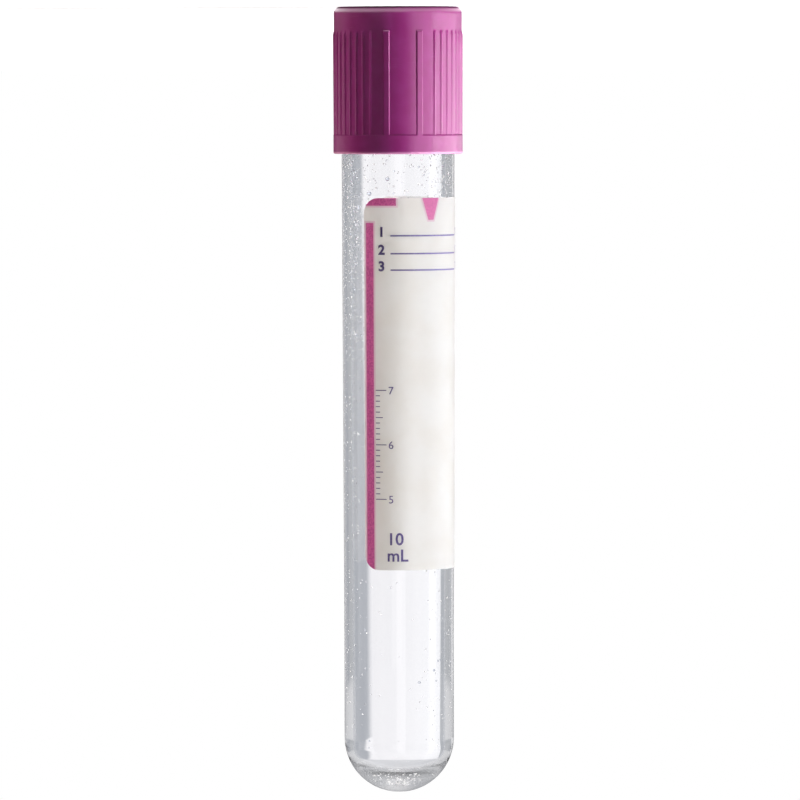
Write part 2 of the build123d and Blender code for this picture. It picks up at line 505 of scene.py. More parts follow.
def makeWorld(plan):
    world = bpy.data.worlds.new("studio")
    bpy.context.scene.world = world
    world.use_nodes = True
    tree = world.node_tree
    tree.nodes.clear()
    direction = tree.nodes.new("ShaderNodeTexCoord").outputs["Generated"]
    north = put(tree, "ShaderNodeSeparateXYZ", {0: direction}).outputs[1]
    rays = tree.nodes.new("ShaderNodeLightPath").outputs
    behind = ramp(tree, north, *plan["backReach"])
    mirrored = mixColour(tree, behind, plan["roomForGloss"], plan["backForGloss"])
    seen = mixColour(tree, rays["Is Glossy Ray"], plan["roomForSurfaces"], mirrored)
    seen = mixColour(tree, rays["Is Transmission Ray"], seen, lookThroughGlass(tree, direction, rays))
    seen = mixColour(tree, rays["Is Camera Ray"], seen, (1, 1, 1, 1))
    background = put(tree, "ShaderNodeBackground", {"Color": seen})
    put(tree, "ShaderNodeOutputWorld", {"Surface": background.outputs[0]})


def makeFloor(plan):
    floor = addPlane(plan["floorSize"])
    floor.name = "floor"
    material, tree = newMaterial("paleFloor")
    place = tree.nodes.new("ShaderNodeTexCoord").outputs["Object"]
    distance = vectorMath(tree, "LENGTH", place).outputs["Value"]
    fromMiddle = vectorMath(tree, "ADD", place, (0, 0, -roomPlan["middleHeight"])).outputs[0]
    direction = vectorMath(tree, "NORMALIZE", fromMiddle).outputs[0]
    rays = tree.nodes.new("ShaderNodeLightPath").outputs
    mirrored = calc(tree, "MULTIPLY", ramp(tree, distance, *plan["floorMirrorReach"], *plan["floorMirror"]),
                    ramp(tree, distance, *plan["contactEdge"]))
    glow = ramp(tree, distance, *plan["floorGlowReach"], *plan["floorGlow"])
    lit = mixColour(tree, rays["Is Glossy Ray"], (0, 0, 0, 1), mirrored)
    lit = mixColour(tree, rays["Is Transmission Ray"], lit, lookThroughGlass(tree, direction, rays))
    lit = mixColour(tree, rays["Is Camera Ray"], lit, glow)
    showSurface(tree, addSurface(tree, {
        "Base Color": mixColour(tree, rays["Is Glossy Ray"], plan["floorColour"], plan["floorMirrorColour"]),
        "Roughness": plan["floorRoughness"],
        "Specular IOR Level": 0.0,
        "Emission Color": lit,
        "Emission Strength": 1.0,
    }))
    floor.data.materials.append(material)


makeCamera(studio)
softPanels = [makePanel(f"softPanel{number}", turn, brightness, studio["panelWidth"])
              for number, (turn, brightness) in enumerate(studio["panels"])]
for name, turn, brightness, width, colour in studio["plainPanels"]:
    makePanel(name, turn, brightness, width, mirrored=False, colour=colour)
roomGroup = makeRoomGroup(roomPlan)
makeWorld(studio)
makeFloor(studio)
print("camera, lamps and floor set")


# The clear tube.
tubePlan = {
    "barrelTop": 22.0 * mm,           # from the closed end; the wall is drafted only further on
    "gateFlat": 0.12 * mm,
    "boreMouthRadius": 6.72 * mm,
    "boreBottomRadius": 6.36 * mm,
    "baseThickness": 2.1 * mm,
    "boreFloorRadius": 9.0 * mm,
    "boreCornerRadius": 3.7 * mm,
    "rimRound": 0.25 * mm,
    "wallSteps": 8,
    "steps": 256,
    "smoothAngle": 40,
    "colour": (0.985, 0.99, 1.0, 1),
    "refraction": 1.575,
    "roughness": 0.015,
    "scuffAmount": 1.0,
    "scuffRoughness": 0.08,
    "tipRoughness": 0.2,              # the moulded tip is slightly hazy
    "tipFrom": 105.3,                 # millimetres up
    "tipTo": 106.3,
    "beadGrain": 0.4,
    "beadMottle": 3.0,
    "beadRange": (0.62, 0.72),
    "beadWithin": 7.1,                # millimetres from the axis, so on the bore alone
    "beadFade": (108.0, 20.0),        # millimetres up, from the closed end towards the mouth
    "beadShare": (0.05, 0.3),
    "flowStretch": (0.5, 0.5, 0.03),
    "flowShare": 0.01,
    "bumpStrength": 0.25,
    "bumpDepth": 0.014 * mm,
}
barrelRadius = barrelMount["dims"]["r_mm"] * mm
mouthRadius = tubeHigh.x
tubeLength = tubeHigh.z - tubeLow.z


def wallRadius(distance):
    # outer radius at a distance from the closed end, along the drafted wall
    share = (distance - tubePlan["barrelTop"]) / (tubeLength - tubePlan["barrelTop"])
    return barrelRadius + (mouthRadius - barrelRadius) * max(share, 0)


def boreCorner(plan):
    # centre of the inside bottom's rounded corner, measured from the closed end
    across = plan["boreBottomRadius"] - plan["boreCornerRadius"]
    dishCentre = plan["baseThickness"] + plan["boreFloorRadius"]
    reach = plan["boreFloorRadius"] - plan["boreCornerRadius"]
    return across, dishCentre - math.sqrt(reach ** 2 - across ** 2), dishCentre


def boreRadius(distance):
    start = boreCorner(tubePlan)[1]
    share = (distance - start) / (tubeLength - start)
    return tubePlan["boreBottomRadius"] + (tubePlan["boreMouthRadius"] - tubePlan["boreBottomRadius"]) * share


def tubeSection(plan):
    # half section from the closed end along the outside, over the rim and back along the bore
    centre = barrelRadius - plan["gateFlat"]
    gateAngle = math.degrees(math.asin(centre / barrelRadius))
    points = [(0, 0)] + arcPoints((0, centre), barrelRadius, -gateAngle, 0, steps=28)
    rim, steps = plan["rimRound"], plan["wallSteps"]
    for step in range(steps + 1):
        distance = plan["barrelTop"] + (tubeLength - rim - plan["barrelTop"]) * step / steps
        points.append((wallRadius(distance), distance))
    points += arcPoints((mouthRadius - rim, tubeLength - rim), rim, 10, 90, steps=5)
    points += arcPoints((plan["boreMouthRadius"] + rim, tubeLength - rim), rim, 90, 180, steps=6)
    across, cornerStart, dishCentre = boreCorner(plan)
    for step in range(1, steps + 1):
        distance = tubeLength - rim + (cornerStart - tubeLength + rim) * step / steps
        points.append((boreRadius(distance), distance))
    dishAngle = math.degrees(math.asin(across / (plan["boreFloorRadius"] - plan["boreCornerRadius"])))
    points += arcPoints((across, cornerStart), plan["boreCornerRadius"], -4, dishAngle - 90, steps=14)
    points += arcPoints((0, dishCentre), plan["boreFloorRadius"], dishAngle - 94, -90, steps=8)
    return [(radius, fromEnd(distance)) for radius, distance in points]


def makeClearPlastic(plan):
    material, tree = newMaterial("clearTubePlastic")
    place = inMillimetres(tree)
    radius, up = splitPlace(tree, place)
    mist = useGrain(tree, place, plan["beadGrain"], plan["beadMottle"])["Height"]
    scuffs = useScuffs(tree, place, plan["scuffAmount"])
    inside = calc(tree, "LESS_THAN", radius, plan["beadWithin"])
    beads = calc(tree, "MULTIPLY", ramp(tree, mist, *plan["beadRange"]), inside)
    grown = ramp(tree, up, *plan["beadFade"], *plan["beadShare"])
    flow = noise(tree, inMillimetres(tree, plan["flowStretch"]), 1.0)
    height = calc(tree, "MULTIPLY_ADD", flow, plan["flowShare"], calc(tree, "MULTIPLY", beads, grown))
    haze = ramp(tree, up, plan["tipFrom"], plan["tipTo"], plan["roughness"], plan["tipRoughness"])
    showSurface(tree, addSurface(tree, {
        "Base Color": plan["colour"],
        "Roughness": calc(tree, "MULTIPLY_ADD", scuffs, plan["scuffRoughness"], haze),
        "IOR": plan["refraction"],
        "Transmission Weight": 1.0,
        "Normal": bumps(tree, height, plan["bumpStrength"], plan["bumpDepth"]),
    }))
    return material


clearTube = latheProfile("clear_tube", tubeSection(tubePlan), tubePlan["steps"])
finishMesh(clearTube, tubePlan["smoothAngle"])
finishWith(clearTube, makeClearPlastic(tubePlan), "tube_body")
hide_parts("tube")
linkLamps(clearTube, softPanels, "EXCLUDE")
print("clear tube made")


# The shield, the closure's ribbed outer cap.
shieldPlan = {
    "groundRadius": 8.80 * mm,
    "bandRadius": 8.89 * mm,
    "bandHeight": 2.6 * mm,
    "topRound": 0.9 * mm,
    "edgeRound": 0.2 * mm,
    "skirtRadius": 8.02 * mm,
    "entryChamfer": 0.25 * mm,
    "pocketRadius": 8.15 * mm,
    "flangeHeight": 3.0 * mm,
    "snapRadius": 7.93 * mm,
    "snapHeight": 0.9 * mm,
    "snapDrop": 0.15 * mm,
    "snapLead": 3,                    # slope of the snap ring's way in
    "portRadius": 4.9 * mm,
    "portRound": 0.45 * mm,
    "portWall": 1.1 * mm,
    "portFlare": 0.15 * mm,
    "bossClearance": 0.8 * mm,
    "topPlate": 1.5 * mm,
    "plainTop": 3.3 * mm,
    "ribPositions": 48,
    "columnsPerRib": 10,
    "panelCount": 3,
    "panelTurn": 4.7,
    "wideRibPlace": 2,                # rib positions from the middle of a plain panel
    "firstNarrowPlace": 4,
    "wideRibReach": 3,                # columns to either side of its middle
    "ribTopRadius": 8.96 * mm,
    "narrowSlope": 0.6 * mm,
    "wideSlope": 0.12 * mm,
    "sameRadius": 0.004 * mm,         # how near a point has to be to count as on the ribs' ground
    "sameHeight": 0.01 * mm,
    "edgeBevel": 0.035 * mm,
    "edgeSupport": 0.15 * mm,         # rows of points this far from the edges keep the walls looking straight
    "ribSteps": 6,
    "smoothAngle": 32,
    "deepColour": (0.300, 0.012, 0.160, 1),
    "lightColour": (0.345, 0.020, 0.205, 1),
    "scuffColour": (0.72, 0.30, 0.56, 1),
    "paintedRimGlow": (0.86, 0.34, 0.60, 1),       # painted glow along the skirt's thin edge, standing in for light coming through it
    "paintedGlowReach": (0.42, 0.12),         # millimetres below the edge
    "paintedGlowShare": 0.7,
    "scuffAmount": 1.0,
    "scuffShare": 0.10,
    "grainSize": 0.11,
    "mottleSize": 1.6,
    "streakStretch": (0.8, 0.8, 0.12),
    "roughness": 0.28,
    "mottleRoughness": 0.06,
    "scuffRoughness": 0.12,
    "shine": 1.0,
    "bumpStrength": 0.25,
    "bumpDepth": 0.012 * mm,
}


def shieldSection(plan):
    # half section from the ring on the floor up to the skirt's open edge, and back down inside
    height = shieldHigh.z
    ground, band = plan["groundRadius"], plan["bandRadius"]
    port, corner = plan["portRadius"], plan["portRound"]
    skirt, snap = plan["skirtRadius"], plan["snapRadius"]
    support = plan["edgeSupport"]
    seat = tubeLow.z - plan["flangeHeight"]           # where the stopper's flange meets the top plate
    points = arcPoints((port + corner, corner), corner, 180, 270, steps=6)
    corner = plan["topRound"]
    points += arcPoints((ground - corner, corner), corner, 270, 360, steps=10)
    points += [(ground, corner + support)]
    bandFoot = height - plan["bandHeight"]
    rows = ribRows(plan)
    points += [(ground, rows[0] - support)]
    points += [(ground, row) for row in rows]
    points += [(band, bandFoot), (band, bandFoot + support)]
    corner = plan["edgeRound"]
    points += [(band, height - corner - support)]
    points += arcPoints((band - corner, height - corner), corner, 0, 90, steps=5)
    points += [(skirt + plan["entryChamfer"], height)]
    points += [(skirt, height - plan["entryChamfer"])]
    ringFoot = tubeLow.z + plan["snapDrop"]
    ringTop = ringFoot + plan["snapHeight"]
    points += [(skirt, ringTop + plan["snapLead"] * (skirt - snap)), (snap, ringTop), (snap, ringFoot)]
    points += [(plan["pocketRadius"], ringFoot), (plan["pocketRadius"], seat), (skirt, seat)]
    points += [(skirt, plan["topPlate"])]
    points += [(port + plan["portWall"], plan["topPlate"])]
    points += [(port + plan["portWall"], seat), (port + plan["portFlare"], seat)]
    points += [(port, seat - plan["bossClearance"])]
    points += [(port, plan["portRound"])]
    return points


def ribRows(plan):
    top = plan["plainTop"]
    foot = shieldHigh.z - plan["bandHeight"]
    slope = plan["narrowSlope"]
    rows = [top, top + plan["wideSlope"], top + slope / 2, top + slope]
    steps = plan["ribSteps"]
    rows += [top + slope + (foot - top - slope) * step / steps for step in range(1, steps)]
    return rows + [foot - plan["edgeSupport"], foot]


def ribShare(place, offset, row, plan):
    # how far a column stands out at one height, as a share of the rib's full depth
    panelPlaces = plan["ribPositions"] // plan["panelCount"]
    fromPanel = min(place % panelPlaces, panelPlaces - place % panelPlaces)
    down = row - plan["plainTop"]
    if fromPanel == plan["wideRibPlace"]:
        return min(down / plan["wideSlope"], 1.0) if abs(offset) <= plan["wideRibReach"] else 0.0
    if fromPanel >= plan["firstNarrowPlace"]:
        return min({0: 1.0, 1: 0.5}.get(abs(offset), 0.0), down / plan["narrowSlope"])
    return 0.0


def raiseRibs(shield, plan):
    perRib = plan["columnsPerRib"]
    columns = plan["ribPositions"] * perRib
    rows = ribRows(plan)
    foot, top = rows[-1], rows[0]
    levels = {}
    for vertex in shield.data.vertices:
        if abs(math.hypot(vertex.co.x, vertex.co.y) - plan["groundRadius"]) > plan["sameRadius"]:
            continue
        row = min(rows, key=lambda height: abs(height - vertex.co.z))
        if abs(row - vertex.co.z) > plan["sameHeight"]:
            continue
        column = round((turnOf(vertex.co) - plan["panelTurn"]) / 360 * columns) % columns
        offset = (column + perRib // 2) % perRib - perRib // 2
        place = ((column - offset) // perRib) % plan["ribPositions"]
        share = ribShare(place, offset, row, plan)
        if share > 0:
            levels.setdefault((row, share), []).append(vertex.index)
    editMode(shield)
    for (row, share), wanted in levels.items():
        taper = (foot - row) / (foot - top)
        crest = plan["bandRadius"] + (plan["ribTopRadius"] - plan["bandRadius"]) * taper
        depth = (crest - plan["groundRadius"]) * share
        grow = 1 + depth / plan["groundRadius"]
        selectVerts(shield, wanted)
        bpy.ops.transform.resize(value=(grow, grow, 1), center_override=(0, 0, row))
    bpy.ops.mesh.select_all(action="SELECT")
    bpy.ops.mesh.remove_doubles(threshold=plan["sameRadius"])
    bpy.ops.object.mode_set(mode="OBJECT")


def makeShieldPlastic(plan):
    material, tree = newMaterial("magentaShieldPlastic")
    place = inMillimetres(tree)
    grain = useGrain(tree, place, plan["grainSize"], plan["mottleSize"])
    mottle = grain["Mottle"]
    scuffs = useScuffs(tree, place, plan["scuffAmount"])
    streaks = noise(tree, inMillimetres(tree, plan["streakStretch"]), 1.0)
    blend = calc(tree, "MULTIPLY_ADD", streaks, 0.5, calc(tree, "MULTIPLY", mottle, 0.5))
    colour = mixColour(tree, blend, plan["deepColour"], plan["lightColour"])
    colour = mixColour(tree, calc(tree, "MULTIPLY", scuffs, plan["scuffShare"]), colour, plan["scuffColour"])
    # painted glow: a paler band of colour along the skirt's open edge, in place of light through the thin
    # plastic
    edge = shieldHigh.z / mm
    start, end = plan["paintedGlowReach"]
    up = put(tree, "ShaderNodeSeparateXYZ", {0: place}).outputs[2]
    rim = ramp(tree, up, edge - start, edge - end)
    colour = mixColour(tree, calc(tree, "MULTIPLY", rim, plan["paintedGlowShare"]), colour, plan["paintedRimGlow"])
    rough = calc(tree, "MULTIPLY_ADD", mottle, plan["mottleRoughness"], plan["roughness"])
    showSurface(tree, addSurface(tree, {
        "Base Color": colour,
        "Roughness": calc(tree, "MULTIPLY_ADD", scuffs, plan["scuffRoughness"], rough),
        "Specular IOR Level": plan["shine"],
        "Normal": bumps(tree, grain["Height"], plan["bumpStrength"], plan["bumpDepth"]),
    }))
    return material


shieldColumns = shieldPlan["ribPositions"] * shieldPlan["columnsPerRib"]
shield = latheProfile("closure_shield", shieldSection(shieldPlan), shieldColumns, shieldPlan["panelTurn"])
raiseRibs(shield, shieldPlan)
bevelEdges(shield, shieldPlan["edgeBevel"], shieldPlan["smoothAngle"])
finishMesh(shield, shieldPlan["smoothAngle"])
applyModifier(shield, "WEIGHTED_NORMAL", keep_sharp=True)
finishWith(shield, makeShieldPlastic(shieldPlan), "closure")
edgeLamp = makePanel("shieldEdge", studio["edgeTurn"], studio["edgeBrightness"], studio["panelWidth"])
linkLamps(shield, [edgeLamp], "INCLUDE")
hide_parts("shield")
print("shield made")


# The rubber stopper inside the shield.
stopperPlan = {
    "flangeRound": 0.35 * mm,
    "plugGap": 0.03 * mm,
    "plugWaist": 0.22 * mm,
    "plugNose": 0.7 * mm,
    "recessMouth": 3.7 * mm,
    "recessTop": 3.2 * mm,
    "recessDepth": 7.4 * mm,
    "recessRound": 1.9 * mm,
    "bossRadius": 4.55 * mm,
    "bossRound": 0.42 * mm,
    "dishRadius": 3.5 * mm,
    "dishDepth": 1.1 * mm,
    "steps": 128,
    "edgeBevel": 0.06 * mm,
    "bevelAngle": 50,
    "smoothAngle": 35,
    "deepColour": (0.25, 0.115, 0.20, 1),
    "lightColour": (0.31, 0.155, 0.255, 1),
    "scuffColour": (0.5, 0.42, 0.48, 1),
    "scuffAmount": 0.8,
    "scuffShare": 0.4,
    "grainSize": 0.2,
    "mottleSize": 1.2,
    "roughness": 0.55,
    "mottleRoughness": 0.12,
    "bumpStrength": 0.4,
    "bumpDepth": 0.03 * mm,
}


def stopperSection(plan):
    # half section from the dish in its face, round the flange and along the plug, to the recess in its end
    face, plugEnd = stopperLow.z, stopperHigh.z
    seat = tubeLow.z - shieldPlan["flangeHeight"]
    flangeRadius = stopperHigh.x
    sphere = (plan["dishRadius"] ** 2 + plan["dishDepth"] ** 2) / (2 * plan["dishDepth"])
    dishAngle = math.degrees(math.asin(plan["dishRadius"] / sphere))
    points = arcPoints((0, face + plan["dishDepth"] - sphere), sphere, 90, 90 - dishAngle, steps=10)
    boss, corner = plan["bossRadius"], plan["bossRound"]
    points += arcPoints((boss - corner, face + corner), corner, 270, 360, steps=6)
    points += [(boss, seat)]
    corner = plan["flangeRound"]
    points += arcPoints((flangeRadius - corner, seat + corner), corner, 270, 360, steps=5)
    points += [(flangeRadius, tubeLow.z), (boreRadius(tubeLength) - plan["plugGap"], tubeLow.z)]
    fifth = (plugEnd - tubeLow.z) / 5                 # two bands that seal, with a waist between them
    for fifths, inset in ((4.2, 0), (3, 0), (2.5, 1), (1.5, 1), (1, 0), (0, 0)):
        height = plugEnd - plan["plugNose"] - fifths * fifth
        points.append((boreRadius(fromEnd(height)) - plan["plugGap"] - inset * plan["plugWaist"], height))
    points += [(boreRadius(fromEnd(plugEnd)) - plan["plugGap"] - plan["plugNose"] / 2, plugEnd)]
    points += [(plan["recessMouth"], plugEnd)]
    top, corner = plugEnd - plan["recessDepth"], plan["recessRound"]
    points += arcPoints((plan["recessTop"] - corner, top + corner), corner, 0, -90, steps=8)
    return points + [(0, top)]


def makeRubber(plan):
    material, tree = newMaterial("stopperRubber")
    place = inMillimetres(tree)
    grain = useGrain(tree, place, plan["grainSize"], plan["mottleSize"])
    scuffs = useScuffs(tree, place, plan["scuffAmount"])
    colour = mixColour(tree, grain["Mottle"], plan["deepColour"], plan["lightColour"])
    colour = mixColour(tree, calc(tree, "MULTIPLY", scuffs, plan["scuffShare"]), colour, plan["scuffColour"])
    showSurface(tree, addSurface(tree, {
        "Base Color": colour,
        "Roughness": calc(tree, "MULTIPLY_ADD", grain["Mottle"], plan["mottleRoughness"], plan["roughness"]),
        "Normal": bumps(tree, grain["Height"], plan["bumpStrength"], plan["bumpDepth"]),
    }))
    return material


stopper = latheProfile("rubber_stopper", stopperSection(stopperPlan), stopperPlan["steps"])
bevelEdges(stopper, stopperPlan["edgeBevel"], stopperPlan["bevelAngle"])
finishMesh(stopper, stopperPlan["smoothAngle"])
finishWith(stopper, makeRubber(stopperPlan), "closure")
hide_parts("stopper")
print("stopper made")


# The label film with its stripe, bar and wedge of colour.
labelPlan = {
    "startTurn": -37.0,               # the printed edge
    "sweep": 244.0,
    "gap": 0.02 * mm,
    "thickness": 0.08 * mm,
    "corner": 2.2 * mm,
    "cornerSteps": 10,
    "columnWidth": 0.2 * mm,
    "smoothAngle": 40,
    # shapes of print, in millimetres: centre, half width, lean, and start and end towards the closure
    "stripe": (0.93, 0.58, 0.0, -1.0, 47.6),
    "topBar": (2.2, 2.45, 0.0, 49.95, 52.0),
    "wedge": (9.6, 0.42, 0.30, 48.0, 52.0),
    "paper": (0.905, 0.900, 0.893, 1),
    "paperAged": (0.880, 0.868, 0.850, 1),
    "ink": (0.78, 0.25, 0.52, 1),
    "inkDark": (0.63, 0.19, 0.42, 1),
    "inkPale": (0.90, 0.40, 0.66, 1),
    "paleShare": 0.5,                 # of the paler ink in the wedge
    "paleBefore": (3.0, 2.0),         # it sets in this far short of the wedge's middle
    "outlineColour": (0.85, 0.66, 0.755, 1),
    "outlineShare": 0.75,
    "outline": 0.25,
    "speckleScale": 4.5,
    "speckleRange": (0.38, 0.62),
    "grainSize": 0.12,
    "mottleSize": 4.0,
    "scuffAmount": 0.6,
    "roughness": 0.36,
    "mottleRoughness": 0.06,
    "inkRoughness": -0.05,
    "scuffRoughness": 0.15,
    "inkHeight": 0.3,
    "bumpStrength": 0.2,
    "bumpDepth": 0.01 * mm,
    "seeThrough": 0.80,               # share of the light that the film passes on to its other side
}
labelHeight = labelHigh.z - labelLow.z
labelRadius = wallRadius(fromEnd((labelLow.z + labelHigh.z) / 2))
labelWidth = math.radians(labelPlan["sweep"]) * labelRadius


def wrapOnWall(obj, plan):
    # flat artwork to the tube's wall: x from the printed edge, y towards the closure, z outwards
    for vertex in obj.data.vertices:
        height = labelHigh.z - vertex.co.y
        turn = plan["startTurn"] + math.degrees(vertex.co.x / labelRadius)
        vertex.co = around(turn, wallRadius(fromEnd(height)) + plan["gap"] + vertex.co.z, height)


def cutIntoColumns(obj, width, step):
    editMode(obj)
    for number in range(1, int(width / step) + 1):
        bpy.ops.mesh.select_all(action="SELECT")
        bpy.ops.mesh.bisect(plane_co=(number * step, 0, 0), plane_no=(1, 0, 0))
    bpy.ops.object.mode_set(mode="OBJECT")


def makeLabelSheet(plan):
    sheet = addPlane(1)
    sheet.name = sheet.data.name = "wrapped_label"
    editMode(sheet)
    bpy.ops.transform.resize(value=(labelWidth, labelHeight, 1))
    bpy.ops.transform.translate(value=(labelWidth / 2, labelHeight / 2, 0))
    bpy.ops.mesh.bevel(offset=plan["corner"], segments=plan["cornerSteps"], affect="VERTICES",
                       offset_type="OFFSET")
    cutIntoColumns(sheet, labelWidth, plan["columnWidth"])
    uvs = sheet.data.uv_layers.active.data
    for loop in sheet.data.loops:
        corner = sheet.data.vertices[loop.vertex_index].co
        uvs[loop.index].uv = (corner.x / labelWidth, corner.y / labelHeight)
    wrapOnWall(sheet, plan)
    applyModifier(sheet, "SOLIDIFY", thickness=plan["thickness"], offset=1.0)
    return sheet


def outerFace(tree, place, plan):
    # 1 on the film's outer face, 0 on the face against the tube
    radius, up = splitPlace(tree, place)
    low, high = wallRadius(fromEnd(labelLow.z)) / mm, wallRadius(fromEnd(labelHigh.z)) / mm
    slope = (high - low) / (labelHeight / mm)
    wall = calc(tree, "MULTIPLY_ADD", up, slope, low - slope * labelLow.z / mm)
    middle = (plan["gap"] + plan["thickness"] / 2) / mm
    return calc(tree, "GREATER_THAN", calc(tree, "SUBTRACT", radius, wall), middle)


def printFields(tree, plan):
    # masks of the coloured fields and of their paler outlines, and how far across the sheet a place is
    sheet = put(tree, "ShaderNodeSeparateXYZ", {0: tree.nodes.new("ShaderNodeUVMap").outputs[0]}).outputs
    across = calc(tree, "MULTIPLY", sheet[0], labelWidth / mm)
    up = calc(tree, "MULTIPLY", sheet[1], labelHeight / mm)
    masks = []
    for grow in (0.0, plan["outline"]):
        mask = 0.0
        for shape in ("stripe", "topBar", "wedge"):
            sides = dict(zip(("Centre", "Half Width", "Lean", "Bottom", "Top"), plan[shape]))
            sides.update({"Across": across, "Up": up, "Grow": grow})
            mask = calc(tree, "MAXIMUM", mask, useGroup(tree, printGroup, sides)["Mask"])
        masks.append(mask)
    return masks, across


def makeLabelFilm(plan):
    material, tree = newMaterial("labelFilm")
    place = inMillimetres(tree)
    grain = useGrain(tree, place, plan["grainSize"], plan["mottleSize"])
    scuffs = useScuffs(tree, place, plan["scuffAmount"])
    outer = outerFace(tree, place, plan)
    masks, across = printFields(tree, plan)
    inked, outlined = (calc(tree, "MULTIPLY", mask, outer) for mask in masks)
    speckle = ramp(tree, noise(tree, place, plan["speckleScale"]), *plan["speckleRange"])
    ink = mixColour(tree, speckle, plan["inkDark"], plan["ink"])
    start, end = (plan["wedge"][0] - before for before in plan["paleBefore"])
    ink = mixColour(tree, ramp(tree, across, start, end, 0.0, plan["paleShare"]), ink, plan["inkPale"])
    paper = mixColour(tree, grain["Mottle"], plan["paperAged"], plan["paper"])
    outline = calc(tree, "MULTIPLY", outlined, plan["outlineShare"])
    colour = mixColour(tree, inked, mixColour(tree, outline, paper, plan["outlineColour"]), ink)
    rough = calc(tree, "MULTIPLY_ADD", grain["Mottle"], plan["mottleRoughness"], plan["roughness"])
    rough = calc(tree, "MULTIPLY_ADD", inked, plan["inkRoughness"], rough)
    height = calc(tree, "MULTIPLY_ADD", inked, plan["inkHeight"], grain["Height"])
    surface = addSurface(tree, {
        "Base Color": colour,
        "Roughness": calc(tree, "MULTIPLY_ADD", scuffs, plan["scuffRoughness"], rough),
        "Normal": bumps(tree, height, plan["bumpStrength"], plan["bumpDepth"]),
    })
    passed = put(tree, "ShaderNodeBsdfTranslucent", {"Color": colour}).outputs[0]
    film = put(tree, "ShaderNodeMixShader", {0: plan["seeThrough"], 1: surface, 2: passed})
    showSurface(tree, film.outputs[0])
    return material


label = makeLabelSheet(labelPlan)
finishMesh(label, labelPlan["smoothAngle"])
finishWith(label, makeLabelFilm(labelPlan), "tube_body")
sheenLamp = makePanel("labelSheen", studio["sheenTurn"], studio["sheenBrightness"], studio["sheenWidth"])
linkLamps(label, [sheenLamp], "INCLUDE")
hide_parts("label")
print("label made")


# Printed rules, numbers and scale on the label.
printPlan = {
    "columnWidth": 0.25 * mm,
    "thickness": 0.006 * mm,
    "lift": 0.002 * mm,               # above the film
    "width": 18 * mm,
    "smoothAngle": 40,
    "digitShare": 0.73,               # height of a digit as a share of the text size
    "letterSteps": 4,
    "bold": 0.045,                    # how far a stroke grows, as a share of the letter's height
    "semiBold": 0.02,
    # write-on rows, in millimetres: number, height from the edge nearer the closed end, where the rule ends
    "rows": (("1", 45.75, 15.5), ("2", 43.3, 15.5), ("3", 41.05, 15.5)),
    "rowNumberHeight": 1.35,
    "rowStart": 2.2,
    "ruleStart": 3.9,
    "ruleThickness": 0.20,
    "boxGap": 0.7,
    "boxSide": 1.1,
    # scale of volume, in millilitres; its marks, in millimetres
    "scaleFrom": 5.0,
    "scaleTo": 7.0,
    "scaleStep": 0.1,
    "bottomLoss": 1.3,                # height lost to the round bottom of the bore
    "scaleStart": 1.78,
    "tickLengths": (1.5, 1.0, 0.6),   # at whole millilitres, at halves and at tenths
    "tickThickness": 0.11,
    "scaleNumberGap": 0.25,
    "scaleNumberHeight": 1.1,
    "capacity": (("10", 3.5), ("mL", 1.25)),        # lines of text and their height from that edge
    "capacityStart": 3.3,
    "capacityHeight": 1.7,
    "ink": (0.13, 0.095, 0.27, 1),
    "inkWorn": (0.24, 0.19, 0.40, 1),
    "speckleScale": 5.0,
    "wornRange": (0.5, 0.7),
    "roughness": 0.4,
    "wornRoughness": 0.2,
}


def addBar(pieces, left, right, bottom, top):
    bar = addPlane(1)
    editMode(bar)
    bpy.ops.transform.resize(value=((right - left) * mm, (top - bottom) * mm, 1))
    bpy.ops.transform.translate(value=((left + right) / 2 * mm, (bottom + top) / 2 * mm, 0))
    bpy.ops.object.mode_set(mode="OBJECT")
    pieces.append(bar)


def addFrame(pieces, left, bottom, side, line):
    right, top = left + side, bottom + side
    for edges in (
        (left, right, bottom, bottom + line),
        (left, right, top - line, top),
        (left, left + line, bottom + line, top - line),
        (right - line, right, bottom + line, top - line),
    ):
        addBar(pieces, *edges)


def addText(pieces, body, left, bottom, height, plan, bold=0.0):
    deselectAll()
    bpy.ops.object.text_add()
    text = bpy.context.active_object
    text.data.body = body
    text.data.size = height * mm / plan["digitShare"]
    text.data.offset = bold * height * mm
    text.data.resolution_u = plan["letterSteps"]
    bpy.ops.object.convert(target="MESH")
    editMode(text)
    bpy.ops.transform.translate(value=(left * mm, bottom * mm, 0))
    bpy.ops.object.mode_set(mode="OBJECT")
    pieces.append(text)


def volumeHeight(volume, plan):
    # how far past the label's edge nearer the closed end so many millilitres reach, in millimetres
    across = boreRadius(tubeLength / 2) / mm
    distance = tubePlan["baseThickness"] / mm + plan["bottomLoss"] + volume * 1000 / (math.pi * across ** 2)
    return distance - fromEnd(labelHigh.z) / mm


def addRows(pieces, plan):
    line = plan["ruleThickness"]
    for number, bottom, end in plan["rows"]:
        addText(pieces, number, plan["rowStart"], bottom, plan["rowNumberHeight"], plan, plan["bold"])
        addBar(pieces, plan["ruleStart"], end, bottom, bottom + line)
        addFrame(pieces, end + plan["boxGap"], bottom, plan["boxSide"], line)


def addScale(pieces, plan):
    atWhole, atHalf, atTenth = plan["tickLengths"]
    left, thick, size = plan["scaleStart"], plan["tickThickness"] / 2, plan["scaleNumberHeight"]
    ticks = round((plan["scaleTo"] - plan["scaleFrom"]) / plan["scaleStep"])
    for tick in range(ticks + 1):
        volume = plan["scaleFrom"] + tick * plan["scaleStep"]
        whole, half = tick % 10 == 0, tick % 5 == 0
        right = left + (atWhole if whole else atHalf if half else atTenth)
        middle = volumeHeight(volume, plan)
        addBar(pieces, left, right, middle - thick, middle + thick)
        if whole:
            addText(pieces, str(round(volume)), right + plan["scaleNumberGap"], middle - size / 2, size, plan)


